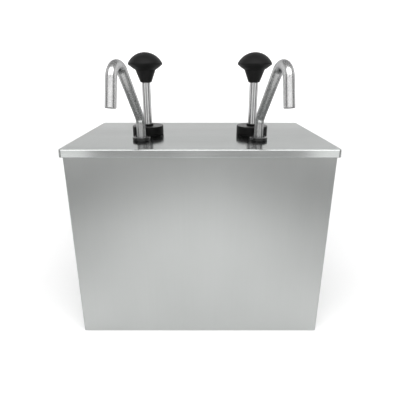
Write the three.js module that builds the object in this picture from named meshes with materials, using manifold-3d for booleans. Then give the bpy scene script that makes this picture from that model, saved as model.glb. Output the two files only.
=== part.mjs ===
// Two-pump condiment dispenser: a sheet-metal housing with two lift-out containers and a lid
// that carries two push-down pumps. Millimetres, +Z up, front at -Y. The origin is the middle
// of the housing's underside, and the plane x = 0 is the plane of left and right symmetry.

import * as THREE from 'three';
import { mergeVertices } from 'three/addons/utils/BufferGeometryUtils.js';
import Module from 'manifold-3d';

const wasm = await Module();
wasm.setup();

// ---- driving dimensions ----

const GAP = 0.3;                  // clearance between pieces that touch
const SHEET = 1.2;                // sheet steel of the housing and the lid
const ROUND = 24;                 // facets of the larger turned pieces
const FINE = 16;                  // facets of the smaller turned pieces

const LID_WIDTH = 375;
const LID_DEPTH = 216;
const LID_TOP = 296;
const LID_FLANGE = 11;
const LID_CORNER = 5;             // radius of the lid's upright corners
const LID_BEND = 3;               // radius of the bend from top to flange

const HOUSING_WIDTH = 366.5;
const HOUSING_DEPTH = 210;
const HOUSING_BEND = 3;
const HEM = 10;                   // depth of the folded hem at the housing's top edge
const SEAM_FLANGE = 12;           // width of the welded flanges of the back panel and base

const CONTAINER_WIDTH = 168;
const CONTAINER_DEPTH = 194;
const CONTAINER_TOP = 281;
const CONTAINER_CORNER = 18;
const CONTAINER_BEND = 8;
const CONTAINER_SHEET = 1;
const CONTAINER_RIM = 3;          // how far the rolled rim stands out
const CONTAINER_X = 89.5;         // centre of each container

const PUMP_X = 83.8;              // each pump's axis, from the plane of symmetry
const RISER_OUT = 2.5;            // its riser's axis, further out than the pump's
const RISER_Y = -49.5;            // and in front of it
const STROKE = 60;

const ROD_RADIUS = 6.6;
const STUD_RADIUS = 4;            // reduced ends of the rod
const STUD_PROUD = 3;             // how far the lower stud stands past its nut
const KNOB_BOTTOM = LID_TOP + 80.6;
const KNOB_HEIGHT = 44.3;
const KNOB_FOOT = { radius: 8.6, chamfer: 1 };
const KNOB_NECK = { radius: 15.4, height: 18.7 };
const KNOB_RIM = { radius: 26.1, height: 26.2, edge: 2 };
const KNOB_FLARE = 1.2;           // exponent of the curve from neck to rim
const KNOB_SOCKET = { radius: 6, depth: 21 };

const COLLAR = { radius: 24.5, height: 13.5, roof: 3, chamfer: 0.8 };
const BUSH = { radius: 12.4, length: 18.5, neckRadius: 8.5, proud: 2.7, chamfer: 0.5 };

const BORE_RADIUS = 12.7;         // pump cylinder
const CYLINDER_RADIUS = 14.3;
const CYLINDER_FLANGE = { radius: 20, thickness: 3 };
const CYLINDER_VENT = { radius: 1.5, below: 20 };       // below the flange
const GASKET = 1.7;               // thickness of the gaskets under the lid

const VALVE_BOTTOM = 10;          // underside of the valve body
const VALVE_RADIUS = 18;
const VALVE_WALL = 3;             // least wall round the drillings
const CHAMBER_HEIGHT = 9;         // pump chamber below the cylinder
const BALL_RADIUS = 5.5;
const SEAT_HOLE_RADIUS = 3;
const BALL_BORE_RADIUS = 6.9;     // bores of both balls and of the riser's socket
const BALL_LIFT = 4;
const SEAT_THICKNESS = 4.7;
const PORT_RADIUS = 4;            // drillings in the valve body
const SOCKET_DEPTH = 13;          // how far the cylinder sits in the valve body
const BRANCH = { wall: 3.6, socket: 14 };               // round the riser
const O_RING = { above: 8, height: 3, depth: 1.6, clearance: 0.2, chamfer: 0.4 };

const SPRING = { radius: 10.8, wire: 0.9, turns: 8, pressed: 30 };
const PISTON = { radius: 12.4, height: 14, groove: 3.2, grooveRadius: 10.2 };
const PISTON_SEAL = { clearance: 0.15, chamfer: 0.5 };
const NUT = { flats: 13, height: 6.5 };

const TUBE_RADIUS = 6.6;          // discharge tube and spout
const TUBE_WALL = 1.2;
const SPOUT_YAW = 8;              // degrees that each spout points outward at rest
const SPOUT_BEND = { height: 30.6, radius: 18 };        // first bend, above the lid
const SPOUT_SLOPE = 48.6;                               // degrees above level
const SPOUT_ARCH = { forward: 75, height: 85.1, radius: 20.3 };
const SPOUT_DROP = 13.5;                                // degrees off plumb at the outlet
const SPOUT_OUTLET = 58.9;                              // height above the lid

const SPOUT_NUT = { radius: 12.9, height: 5, chamfer: 0.7 };
const SPOUT_BUSH = { radius: 8.5, flangeRadius: 12, flange: 2.5, sunk: 0.4 };

// ---- levels worked out from them ----

const LID_UNDERSIDE = LID_TOP - SHEET;
const HOUSING_TOP = LID_UNDERSIDE - GAP;
const COLLAR_BOTTOM = LID_TOP + GAP;
const COLLAR_TOP = LID_TOP + COLLAR.height;
const NECK_TOP = COLLAR_TOP - COLLAR.roof - GAP;
const FLANGE_TOP = LID_UNDERSIDE - 2 * GAP - GASKET;     // of the cylinder and the spout bush
const SEAT_TOP = VALVE_BOTTOM + SEAT_THICKNESS;
const BALL_RISE = Math.sqrt(BALL_RADIUS ** 2 - SEAT_HOLE_RADIUS ** 2) + GAP;   // over its seat
const INLET_BALL_Z = SEAT_TOP + BALL_RISE;
const BALL_STOP = INLET_BALL_Z + BALL_RADIUS + BALL_LIFT + 2 * GAP;
const CHAMBER_FLOOR = BALL_STOP + VALVE_WALL;
const PORT_Z = CHAMBER_FLOOR + CHAMBER_HEIGHT / 2;
const SOCKET_FLOOR = CHAMBER_FLOOR + CHAMBER_HEIGHT;
const VALVE_TOP = SOCKET_FLOOR + SOCKET_DEPTH;
const DISCHARGE_SEAT = PORT_Z + PORT_RADIUS + VALVE_WALL;
const DISCHARGE_BALL_Z = DISCHARGE_SEAT + BALL_RISE;
const RISER_BOTTOM = DISCHARGE_BALL_Z + BALL_RADIUS + BALL_LIFT + 2 * GAP;
const SPRING_TOP = CHAMBER_FLOOR + GAP + SPRING.pressed + STROKE;
const PISTON_BOTTOM = SPRING_TOP + GAP;
const PISTON_TOP = PISTON_BOTTOM + PISTON.height;

// ---- materials ----

function finish(colour, roughness, metalness) {
  return new THREE.MeshStandardMaterial({ color: colour, roughness, metalness });
}
const brushedSteel = finish(0xb4b6b8, 0.35, 1);
const polishedSteel = finish(0xc8cacc, 0.12, 1);
const blackPlastic = finish(0x1c1c1e, 0.45, 0);
const blackRubber = finish(0x151515, 0.8, 0);
const whitePlastic = finish(0xe4e4de, 0.4, 0);
const brass = finish(0xb08d45, 0.3, 1);

// ---- shape helpers ----

function solid(geometry) {
  const bare = geometry.clone();
  bare.deleteAttribute('normal');
  bare.deleteAttribute('uv');
  const merged = mergeVertices(bare);
  const triangles = [];
  const index = merged.index.array;
  for (let i = 0; i < index.length; i += 3) {
    const [a, b, c] = [index[i], index[i + 1], index[i + 2]];
    if (a !== b && b !== c && c !== a) triangles.push(a, b, c);
  }
  const vertProperties = new Float32Array(merged.attributes.position.array);
  const triVerts = new Uint32Array(triangles);
  return new wasm.Manifold(new wasm.Mesh({ numProp: 3, vertProperties, triVerts }));
}

function geometryOf(manifold) {
  const mesh = manifold.getMesh();
  const geometry = new THREE.BufferGeometry();
  geometry.setAttribute('position', new THREE.BufferAttribute(mesh.vertProperties, 3));
  geometry.setIndex(new THREE.BufferAttribute(mesh.triVerts, 1));
  geometry.computeVertexNormals();
  return geometry;
}

function join(...geometries) {
  return geometryOf(geometries.map(solid).reduce((sum, next) => sum.add(next)));
}

function cut(geometry, ...tools) {
  return geometryOf(tools.map(solid).reduce((rest, tool) => rest.subtract(tool), solid(geometry)));
}

// A piece turned about Z. The outline is a list of [radius, height] points that either starts
// and ends on the axis or closes on itself.
function turned(outline, facets = ROUND) {
  const area = outline.reduce((sum, [r, z], i) => {
    const [nextR, nextZ] = outline[(i + 1) % outline.length];
    return sum + r * nextZ - nextR * z;
  }, 0);
  const ordered = area > 0 ? outline : [...outline].reverse();
  const points = ordered.map(([r, z]) => new THREE.Vector2(r, z));
  if (outline.every(([r]) => r > 0)) points.push(points[0].clone());
  return new THREE.LatheGeometry(points, facets).rotateX(Math.PI / 2);
}

function rod(radius, low, high, facets = ROUND) {
  return turned([[0, low], [radius, low], [radius, high], [0, high]], facets);
}

function ring(outer, inner, low, high, facets = ROUND) {
  return turned([[inner, low], [outer, low], [outer, high], [inner, high]], facets);
}

function box(low, high) {
  const size = high.map((value, i) => value - low[i]);
  const middle = high.map((value, i) => (value + low[i]) / 2);
  return new THREE.BoxGeometry(...size).translate(...middle);
}

function roundedRectangle(width, depth, radius) {
  const [x, y] = [width / 2 - radius, depth / 2 - radius];
  const shape = new THREE.Shape();
  shape.absarc(x, -y, radius, -Math.PI / 2, 0);
  shape.absarc(x, y, radius, 0, Math.PI / 2);
  shape.absarc(-x, y, radius, Math.PI / 2, Math.PI);
  shape.absarc(-x, -y, radius, Math.PI, 1.5 * Math.PI);
  return shape;
}

// A block with upright round corners and a round edge at its lower end, which is at z = 0.
function roundedBlock(width, depth, height, corner, bend, steps) {
  const options = {
    depth: height,
    bevelThickness: bend,
    bevelSize: bend,
    bevelOffset: -bend,
    bevelSegments: steps,
    curveSegments: steps + 1,
  };
  const block = new THREE.ExtrudeGeometry(roundedRectangle(width, depth, corner), options);
  block.translate(0, 0, bend);
  const above = box([-width, -depth, height], [width, depth, 2 * height + 4 * bend]);
  return cut(block, above);
}

// A folded or pressed pan, open at the top, its underside at z = 0. The bend's inner radius is
// kept small, so that what stands in the pan clears it.
function pan(width, depth, height, corner, bend, sheet, steps) {
  const outside = roundedBlock(width, depth, height, corner, bend, steps);
  const innerBend = bend - 2 * sheet;
  const inside = roundedBlock(
    width - 2 * sheet, depth - 2 * sheet, height, corner - sheet, innerBend, steps);
  return cut(outside, inside.translate(0, 0, sheet));
}

// A path given as straight and round stretches, stepped only where it bends.
class SteppedPath extends THREE.Curve {
  constructor(stations) {
    super();
    this.stations = stations;
  }
  getPointAt(u, target = new THREE.Vector3()) {
    const last = this.stations.length - 1;
    return target.copy(this.stations[Math.round(u * last)].point);
  }
  getTangentAt(u, target = new THREE.Vector3()) {
    const last = this.stations.length - 1;
    return target.copy(this.stations[Math.round(u * last)].tangent);
  }
}

function circle(radius, hole = 0) {
  const shape = new THREE.Shape();
  shape.absarc(0, 0, radius, 0, 2 * Math.PI);
  if (hole > 0) {
    const inner = new THREE.Path();
    inner.absarc(0, 0, hole, 0, 2 * Math.PI, true);
    shape.holes.push(inner);
  }
  return shape;
}

function swept(shape, path, steps, curveSegments) {
  return new THREE.ExtrudeGeometry(shape, { extrudePath: path, steps, curveSegments });
}

class Helix extends THREE.Curve {
  constructor(radius, low, high, turns) {
    super();
    Object.assign(this, { radius, low, high, turns });
  }
  getPoint(t, target = new THREE.Vector3()) {
    const angle = 2 * Math.PI * this.turns * t;
    const z = this.low + (this.high - this.low) * t;
    return target.set(this.radius * Math.cos(angle), this.radius * Math.sin(angle), z);
  }
}

// ---- housing ----

// Front and both sides, folded from one sheet, with a folded hem along the top.
function housingWrap() {
  const half = HOUSING_WIDTH / 2;
  const back = HOUSING_DEPTH / 2;
  const wall = (thickness, low, high) => {
    const inset = half - thickness;
    const inner = HOUSING_BEND - Math.min(thickness, HOUSING_BEND - 0.3);
    const centre = { x: half - HOUSING_BEND, y: -back + HOUSING_BEND };
    const innerCentre = { x: inset - inner, y: -back + thickness + inner };
    const shape = new THREE.Shape();
    shape.moveTo(-half, back);
    shape.absarc(-centre.x, centre.y, HOUSING_BEND, Math.PI, 1.5 * Math.PI);
    shape.absarc(centre.x, centre.y, HOUSING_BEND, 1.5 * Math.PI, 2 * Math.PI);
    shape.lineTo(half, back);
    shape.lineTo(inset, back);
    shape.absarc(innerCentre.x, innerCentre.y, inner, 2 * Math.PI, 1.5 * Math.PI, true);
    shape.absarc(-innerCentre.x, innerCentre.y, inner, 1.5 * Math.PI, Math.PI, true);
    shape.lineTo(-inset, back);
    const options = { depth: high - low, bevelEnabled: false, curveSegments: 4 };
    return new THREE.ExtrudeGeometry(shape, options).translate(0, 0, low);
  };
  return join(wall(SHEET, 0, HOUSING_TOP), wall(2 * SHEET, HOUSING_TOP - HEM, HOUSING_TOP));
}

// Back panel between the sides, with a flange turned forward inside each side and a top hem.
function housingBack() {
  const half = HOUSING_WIDTH / 2 - SHEET - GAP;
  const back = HOUSING_DEPTH / 2;
  const hemHalf = half - SHEET;
  const hemLow = HOUSING_TOP - HEM;
  return join(
    box([-half, back - SHEET, 0], [half, back, hemLow - GAP]),
    box([-hemHalf, back - SHEET, 0], [hemHalf, back, HOUSING_TOP]),
    box([-hemHalf, back - 2 * SHEET, hemLow], [hemHalf, back - SHEET / 2, HOUSING_TOP]),
    ...[-1, 1].map((side) => {
      const xs = [side * half, side * (half - SHEET)].sort((a, b) => a - b);
      return box([xs[0], back - SEAM_FLANGE, 0], [xs[1], back - SHEET / 2, hemLow - GAP]);
    }));
}

// Base panel with its four edges turned up and welded inside the walls.
function basePlate() {
  const inward = SHEET + GAP;
  const x = HOUSING_WIDTH / 2 - 2 * inward;
  const y = HOUSING_DEPTH / 2 - inward;
  return cut(
    box([-x, -y, 0], [x, y, SEAM_FLANGE]),
    box([-x + SHEET, -y + SHEET, SHEET], [x - SHEET, y - SHEET, SEAM_FLANGE + 1]));
}

// ---- containers ----

function container() {
  const low = SHEET + GAP;
  const height = CONTAINER_TOP - low;
  const body = pan(
    CONTAINER_WIDTH, CONTAINER_DEPTH, height, CONTAINER_CORNER, CONTAINER_BEND, CONTAINER_SHEET, 2);
  const rimShape = roundedRectangle(
    CONTAINER_WIDTH + 2 * CONTAINER_RIM,
    CONTAINER_DEPTH + 2 * CONTAINER_RIM,
    CONTAINER_CORNER + CONTAINER_RIM);
  rimShape.holes.push(roundedRectangle(
    CONTAINER_WIDTH - CONTAINER_SHEET,
    CONTAINER_DEPTH - CONTAINER_SHEET,
    CONTAINER_CORNER - CONTAINER_SHEET / 2));
  const rim = new THREE.ExtrudeGeometry(rimShape, {
    depth: CONTAINER_RIM, bevelEnabled: false, curveSegments: 3,
  });
  rim.translate(0, 0, height - CONTAINER_RIM);
  return join(body, rim).translate(0, 0, low);
}

// ---- lid ----

function lid() {
  const tray = pan(LID_WIDTH, LID_DEPTH, LID_FLANGE, LID_CORNER, LID_BEND, SHEET, 2);
  tray.rotateX(Math.PI).translate(0, 0, LID_TOP);
  const neckHole = CYLINDER_RADIUS + GAP;
  const bushHole = SPOUT_BUSH.radius + GAP;
  const drills = [-1, 1].flatMap((hand) => [
    rod(neckHole, LID_UNDERSIDE - 1, LID_TOP + 1).translate(hand * PUMP_X, 0, 0),
    rod(bushHole, LID_UNDERSIDE - 1, LID_TOP + 1)
      .translate(hand * (PUMP_X + RISER_OUT), RISER_Y, 0),
  ]);
  return cut(tray, ...drills);
}

// ---- pump: plunger ----

function knob() {
  const top = KNOB_BOTTOM + KNOB_HEIGHT;
  const neck = KNOB_BOTTOM + KNOB_NECK.height;
  const rim = KNOB_BOTTOM + KNOB_RIM.height;
  const outline = [
    [KNOB_FOOT.radius - KNOB_FOOT.chamfer, KNOB_BOTTOM],
    [KNOB_FOOT.radius, KNOB_BOTTOM + KNOB_FOOT.chamfer],
  ];
  const flareSteps = 3;
  for (let i = 0; i <= flareSteps; i += 1) {
    const t = i / flareSteps;
    outline.push([
      KNOB_NECK.radius + (KNOB_RIM.radius - KNOB_NECK.radius) * t,
      neck + (rim - neck) * t ** KNOB_FLARE,
    ]);
  }
  const shoulder = rim + KNOB_RIM.edge;
  const rise = top - shoulder;
  const domeRadius = (KNOB_RIM.radius ** 2 + rise ** 2) / (2 * rise);
  const sweep = Math.asin(KNOB_RIM.radius / domeRadius);
  const domeSteps = 5;
  for (let i = 0; i <= domeSteps; i += 1) {
    const angle = sweep * (1 - i / domeSteps);
    const radius = i === domeSteps ? 0 : domeRadius * Math.sin(angle);
    outline.push([radius, top - domeRadius * (1 - Math.cos(angle))]);
  }
  const socketTop = KNOB_BOTTOM + KNOB_SOCKET.depth;
  outline.unshift([0, socketTop], [KNOB_SOCKET.radius, socketTop], [KNOB_SOCKET.radius, KNOB_BOTTOM]);
  return turned(outline);
}

function knobInsert() {
  const top = KNOB_BOTTOM + KNOB_SOCKET.depth - GAP;
  return ring(KNOB_SOCKET.radius - GAP, STUD_RADIUS + GAP, KNOB_BOTTOM + GAP, top, FINE);
}

function plungerRod() {
  const bottom = PISTON_BOTTOM - NUT.height - STUD_PROUD;
  const shoulder = PISTON_TOP + GAP;
  const seat = KNOB_BOTTOM - GAP;
  const top = KNOB_BOTTOM + KNOB_SOCKET.depth - 2;
  return turned([
    [0, bottom],
    [STUD_RADIUS, bottom],
    [STUD_RADIUS, shoulder],
    [ROD_RADIUS, shoulder],
    [ROD_RADIUS, seat],
    [STUD_RADIUS, seat],
    [STUD_RADIUS, top],
    [0, top],
  ]);
}

function piston() {
  const hole = STUD_RADIUS + GAP;
  const grooveLow = PISTON_BOTTOM + (PISTON.height - PISTON.groove) / 2;
  return turned([
    [hole, PISTON_BOTTOM],
    [PISTON.radius, PISTON_BOTTOM],
    [PISTON.radius, grooveLow],
    [PISTON.grooveRadius, grooveLow],
    [PISTON.grooveRadius, grooveLow + PISTON.groove],
    [PISTON.radius, grooveLow + PISTON.groove],
    [PISTON.radius, PISTON_TOP],
    [hole, PISTON_TOP],
  ]);
}

function pistonSeal() {
  const low = PISTON_BOTTOM + (PISTON.height - PISTON.groove) / 2 + GAP;
  const high = low + PISTON.groove - 2 * GAP;
  const outer = BORE_RADIUS - PISTON_SEAL.clearance;
  return turned([
    [PISTON.grooveRadius + GAP, low],
    [outer - PISTON_SEAL.chamfer, low],
    [outer, (low + high) / 2],
    [outer - PISTON_SEAL.chamfer, high],
    [PISTON.grooveRadius + GAP, high],
  ]);
}

function pistonNut() {
  const corner = NUT.flats / Math.sqrt(3);
  const corners = Array.from({ length: 6 }, (_, i) => {
    const angle = (i * Math.PI) / 3;
    return new THREE.Vector2(corner * Math.cos(angle), corner * Math.sin(angle));
  });
  const hexagon = new THREE.Shape(corners);
  const hole = new THREE.Path();
  hole.absarc(0, 0, STUD_RADIUS + GAP, 0, 2 * Math.PI, true);
  hexagon.holes.push(hole);
  const options = { depth: NUT.height - GAP, bevelEnabled: false, curveSegments: 12 };
  return new THREE.ExtrudeGeometry(hexagon, options).translate(0, 0, PISTON_BOTTOM - NUT.height);
}

// ---- pump: cylinder and head ----

// Pump cylinder: a tube with a flange under the lid and a neck that stands through it.
function cylinder() {
  const bottom = SOCKET_FLOOR + GAP;
  const flangeBottom = FLANGE_TOP - CYLINDER_FLANGE.thickness;
  const tube = turned([
    [BORE_RADIUS, bottom],
    [CYLINDER_RADIUS, bottom],
    [CYLINDER_RADIUS, flangeBottom],
    [CYLINDER_FLANGE.radius, flangeBottom],
    [CYLINDER_FLANGE.radius, FLANGE_TOP],
    [CYLINDER_RADIUS, FLANGE_TOP],
    [CYLINDER_RADIUS, NECK_TOP],
    [BORE_RADIUS, NECK_TOP],
  ]);
  const vent = rod(CYLINDER_VENT.radius, 0, 2 * CYLINDER_RADIUS, 10).rotateY(Math.PI / 2);
  return cut(tube, vent.translate(0, 0, flangeBottom - CYLINDER_VENT.below));
}

function neckGasket() {
  const low = FLANGE_TOP + GAP;
  return ring(CYLINDER_FLANGE.radius, CYLINDER_RADIUS + GAP, low, low + GASKET);
}

function guideBush() {
  const low = NECK_TOP - BUSH.length;
  const hole = ROD_RADIUS + GAP;
  return turned([
    [hole, low],
    [BUSH.radius, low],
    [BUSH.radius, NECK_TOP],
    [BUSH.neckRadius, NECK_TOP],
    [BUSH.neckRadius, COLLAR_TOP + BUSH.proud - BUSH.chamfer],
    [BUSH.neckRadius - BUSH.chamfer, COLLAR_TOP + BUSH.proud],
    [hole, COLLAR_TOP + BUSH.proud],
  ]);
}

function collarNut() {
  const thread = CYLINDER_RADIUS + GAP;
  const roof = COLLAR_TOP - COLLAR.roof;
  return turned([
    [thread, COLLAR_BOTTOM],
    [COLLAR.radius, COLLAR_BOTTOM],
    [COLLAR.radius, COLLAR_TOP - COLLAR.chamfer],
    [COLLAR.radius - COLLAR.chamfer, COLLAR_TOP],
    [BUSH.neckRadius + GAP, COLLAR_TOP],
    [BUSH.neckRadius + GAP, roof],
    [thread, roof],
  ]);
}

function returnSpring() {
  const low = CHAMBER_FLOOR + GAP + SPRING.wire;
  const helix = new Helix(SPRING.radius, low, SPRING_TOP - SPRING.wire, SPRING.turns);
  return swept(circle(SPRING.wire), helix, SPRING.turns * 8, 3);
}

// ---- pump: valves ----

// Valve body: holds the cylinder, the inlet valve below it and the discharge valve and riser
// on a branch in front of it. It is made with the branch straight in front of the cylinder.
function valveBody() {
  const reach = Math.hypot(RISER_OUT, RISER_Y);
  const branchBottom = PORT_Z - PORT_RADIUS - VALVE_WALL;
  const branchTop = RISER_BOTTOM + BRANCH.socket;
  const branchRadius = BALL_BORE_RADIUS + BRANCH.wall;
  const bridge = PORT_RADIUS + VALVE_WALL;
  const outside = join(
    rod(VALVE_RADIUS, VALVE_BOTTOM, VALVE_TOP),
    rod(branchRadius, branchBottom, branchTop, FINE).translate(0, -reach, 0),
    box([-bridge, -reach, PORT_Z - bridge], [bridge, 0, PORT_Z + bridge]));
  const groove = oRingGroove();
  return cut(
    outside,
    rod(CYLINDER_RADIUS + GAP, SOCKET_FLOOR, VALVE_TOP + 1),
    rod(BORE_RADIUS, CHAMBER_FLOOR, SOCKET_FLOOR + 1),
    rod(PORT_RADIUS, BALL_STOP - 1, CHAMBER_FLOOR + 1, FINE),
    rod(BALL_BORE_RADIUS, VALVE_BOTTOM - 1, BALL_STOP, FINE),
    rod(PORT_RADIUS, 0, reach, FINE).rotateX(Math.PI / 2).translate(0, 0, PORT_Z),
    rod(SEAT_HOLE_RADIUS, PORT_Z, DISCHARGE_SEAT + 1, FINE).translate(0, -reach, 0),
    rod(BALL_BORE_RADIUS, DISCHARGE_SEAT, branchTop + 1, FINE).translate(0, -reach, 0),
    rod(groove.radius, groove.low, groove.high, FINE).translate(0, -reach, 0));
}

// The groove for the O-ring that seals the riser in the valve body.
function oRingGroove() {
  const low = RISER_BOTTOM + O_RING.above;
  return { low, high: low + O_RING.height, radius: BALL_BORE_RADIUS + O_RING.depth };
}

function inletSeat() {
  return ring(
    BALL_BORE_RADIUS - GAP, SEAT_HOLE_RADIUS, VALVE_BOTTOM + GAP, SEAT_TOP, FINE);
}

function ball(z) {
  return new THREE.SphereGeometry(BALL_RADIUS, 12, 8).rotateX(Math.PI / 2).translate(0, 0, z);
}

function tubeORing() {
  const groove = oRingGroove();
  const inner = TUBE_RADIUS + O_RING.clearance;
  const outer = groove.radius - GAP;
  const middle = (groove.low + groove.high) / 2;
  const half = O_RING.height / 2 - GAP;
  return turned([
    [inner, middle],
    [inner + O_RING.chamfer, middle - half],
    [outer - O_RING.chamfer, middle - half],
    [outer, middle],
    [outer - O_RING.chamfer, middle + half],
    [inner + O_RING.chamfer, middle + half],
  ], FINE);
}

// ---- pump: discharge tube ----

// Stations of the spout's centreline, in the plane x = 0, with the riser on the Z axis.
function spoutStations() {
  const degrees = Math.PI / 180;
  const slope = SPOUT_SLOPE * degrees;
  const drop = SPOUT_DROP * degrees;
  const stations = [];
  const station = (forward, height, heading) => {
    stations.push({
      point: new THREE.Vector3(0, -forward, height),
      tangent: new THREE.Vector3(0, -Math.cos(heading), Math.sin(heading)),
    });
  };
  // An arc that turns forward, from one heading above level to another.
  const arc = (forward, height, radius, from, to, steps) => {
    for (let i = 0; i <= steps; i += 1) {
      const heading = from + ((to - from) * i) / steps;
      station(forward - radius * Math.sin(heading), height + radius * Math.cos(heading), heading);
    }
  };
  const vertical = Math.PI / 2;
  const lowBend = SPOUT_BEND.radius * Math.tan((vertical - slope) / 2);
  station(0, RISER_BOTTOM, vertical);
  const bendHeight = LID_TOP + SPOUT_BEND.height - lowBend;
  arc(SPOUT_BEND.radius, bendHeight, SPOUT_BEND.radius, vertical, slope, 4);
  const archHeight = LID_TOP + SPOUT_ARCH.height;
  arc(SPOUT_ARCH.forward, archHeight, SPOUT_ARCH.radius, slope, drop - vertical, 9);
  const end = stations[stations.length - 1];
  const down = (end.point.z - LID_TOP - SPOUT_OUTLET) / Math.cos(drop);
  station(-end.point.y + down * Math.sin(drop), LID_TOP + SPOUT_OUTLET, drop - vertical);
  return stations;
}

function dischargeTube() {
  const stations = spoutStations();
  const section = circle(TUBE_RADIUS, TUBE_RADIUS - TUBE_WALL);
  return swept(section, new SteppedPath(stations), stations.length - 1, 5);
}

function spoutBush() {
  const hole = TUBE_RADIUS + GAP;
  const top = LID_TOP + SPOUT_NUT.height - SPOUT_BUSH.sunk;
  return turned([
    [hole, FLANGE_TOP - SPOUT_BUSH.flange],
    [SPOUT_BUSH.flangeRadius, FLANGE_TOP - SPOUT_BUSH.flange],
    [SPOUT_BUSH.flangeRadius, FLANGE_TOP],
    [SPOUT_BUSH.radius, FLANGE_TOP],
    [SPOUT_BUSH.radius, top],
    [hole, top],
  ], FINE);
}

function spoutGasket() {
  const low = FLANGE_TOP + GAP;
  return ring(SPOUT_BUSH.flangeRadius, SPOUT_BUSH.radius + GAP, low, low + GASKET, FINE);
}

function spoutNut() {
  const hole = SPOUT_BUSH.radius + GAP;
  const top = LID_TOP + SPOUT_NUT.height;
  return turned([
    [hole, COLLAR_BOTTOM],
    [SPOUT_NUT.radius, COLLAR_BOTTOM],
    [SPOUT_NUT.radius, top - SPOUT_NUT.chamfer],
    [SPOUT_NUT.radius - SPOUT_NUT.chamfer, top],
    [hole, top],
  ]);
}

// ---- assembly ----

function piece(name, geometry, material) {
  const mesh = new THREE.Mesh(geometry, material);
  mesh.name = name;
  return mesh;
}

// One pump about its own axis, hand -1 for the left one and 1 for the right one.
function pump(side, hand) {
  const group = new THREE.Group();
  group.position.set(hand * PUMP_X, 0, 0);
  const head = piece(`valve_body_${side}`, valveBody(), blackPlastic);
  head.rotation.z = hand * Math.atan2(RISER_OUT, -RISER_Y);
  group.add(
    piece(`knob_${side}`, knob(), blackPlastic),
    piece(`knob_insert_${side}`, knobInsert(), brass),
    piece(`plunger_rod_${side}`, plungerRod(), polishedSteel),
    piece(`piston_${side}`, piston(), whitePlastic),
    piece(`piston_seal_${side}`, pistonSeal(), blackRubber),
    piece(`piston_nut_${side}`, pistonNut(), polishedSteel),
    piece(`cylinder_${side}`, cylinder(), brushedSteel),
    piece(`neck_gasket_${side}`, neckGasket(), blackRubber),
    piece(`guide_bush_${side}`, guideBush(), blackPlastic),
    piece(`collar_nut_${side}`, collarNut(), blackPlastic),
    piece(`return_spring_${side}`, returnSpring(), polishedSteel),
    head,
    piece(`inlet_seat_${side}`, inletSeat(), polishedSteel),
    piece(`inlet_ball_${side}`, ball(INLET_BALL_Z), polishedSteel));

  const riser = new THREE.Group();
  riser.position.set(hand * RISER_OUT, RISER_Y, 0);
  const tube = piece(`discharge_tube_${side}`, dischargeTube(), polishedSteel);
  tube.rotation.z = (hand * SPOUT_YAW * Math.PI) / 180;
  riser.add(
    tube,
    piece(`discharge_ball_${side}`, ball(DISCHARGE_BALL_Z), polishedSteel),
    piece(`tube_o_ring_${side}`, tubeORing(), blackRubber),
    piece(`spout_bush_${side}`, spoutBush(), polishedSteel),
    piece(`spout_gasket_${side}`, spoutGasket(), blackRubber),
    piece(`spout_nut_${side}`, spoutNut(), blackPlastic));
  group.add(riser);
  return group;
}

const dispenser = new THREE.Group();
dispenser.add(
  piece('housing_wrap', housingWrap(), brushedSteel),
  piece('housing_back', housingBack(), brushedSteel),
  piece('base_plate', basePlate(), brushedSteel),
  piece('lid', lid(), brushedSteel));

for (const [side, hand] of [['left', -1], ['right', 1]]) {
  const tub = piece(`container_${side}`, container(), brushedSteel);
  tub.position.x = hand * CONTAINER_X;
  dispenser.add(tub, pump(side, hand));
}

export default dispenser;
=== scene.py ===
import math

import bmesh
import bpy
from mathutils import Matrix, Vector


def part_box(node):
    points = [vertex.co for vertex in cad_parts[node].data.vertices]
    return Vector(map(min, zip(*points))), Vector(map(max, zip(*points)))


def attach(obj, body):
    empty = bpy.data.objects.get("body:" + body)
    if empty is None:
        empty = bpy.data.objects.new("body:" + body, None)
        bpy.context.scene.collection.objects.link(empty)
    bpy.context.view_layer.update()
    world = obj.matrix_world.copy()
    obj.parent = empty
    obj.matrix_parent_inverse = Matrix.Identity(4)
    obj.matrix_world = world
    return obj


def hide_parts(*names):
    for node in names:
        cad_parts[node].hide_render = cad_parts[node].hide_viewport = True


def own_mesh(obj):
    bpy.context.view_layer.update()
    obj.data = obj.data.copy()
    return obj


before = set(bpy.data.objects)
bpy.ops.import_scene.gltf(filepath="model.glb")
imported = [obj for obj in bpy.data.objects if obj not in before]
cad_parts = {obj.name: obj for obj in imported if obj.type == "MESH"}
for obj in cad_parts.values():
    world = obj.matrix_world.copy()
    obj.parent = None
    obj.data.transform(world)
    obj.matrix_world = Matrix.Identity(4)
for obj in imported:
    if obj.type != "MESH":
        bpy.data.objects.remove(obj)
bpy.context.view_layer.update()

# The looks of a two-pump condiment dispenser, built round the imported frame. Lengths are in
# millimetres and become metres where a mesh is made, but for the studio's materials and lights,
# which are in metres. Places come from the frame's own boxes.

MM = 0.001                      # a millimetre in metres
SIDES = {"left": -1, "right": 1}
UP = Vector((0, 0, 1))
SHARP = 32                      # degrees; a sharper edge is shaded as an edge
FACETS = 96                     # round most turned pieces
TOOL_FACETS = 64                # round drills and sockets


# ---- places read from the frame ----

def low(node):
    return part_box(node)[0] / MM


def high(node):
    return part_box(node)[1] / MM


def middle(node):
    return (low(node) + high(node)) / 2


LID_LOW, LID_HIGH = low("lid"), high("lid")
LID_TOP = LID_HIGH.z
WALL_LOW, WALL_HIGH = low("housing_wrap"), high("housing_wrap")
SHEET = 1.2                     # sheet steel of the lid and the housing
GAP = 0.3                       # clearance between pieces
HEM = 10.0                      # depth of the folded hem at the housing's top edge


# ---- mesh helpers ----

def shade(bm, sharp):
    """Smooths a bmesh but for the edges sharper than an angle in degrees."""
    limit = math.radians(sharp)
    for face in bm.faces:
        face.smooth = True
    for edge in bm.edges:
        edge.smooth = len(edge.link_faces) == 2 and edge.calc_face_angle(math.pi) < limit


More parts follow.
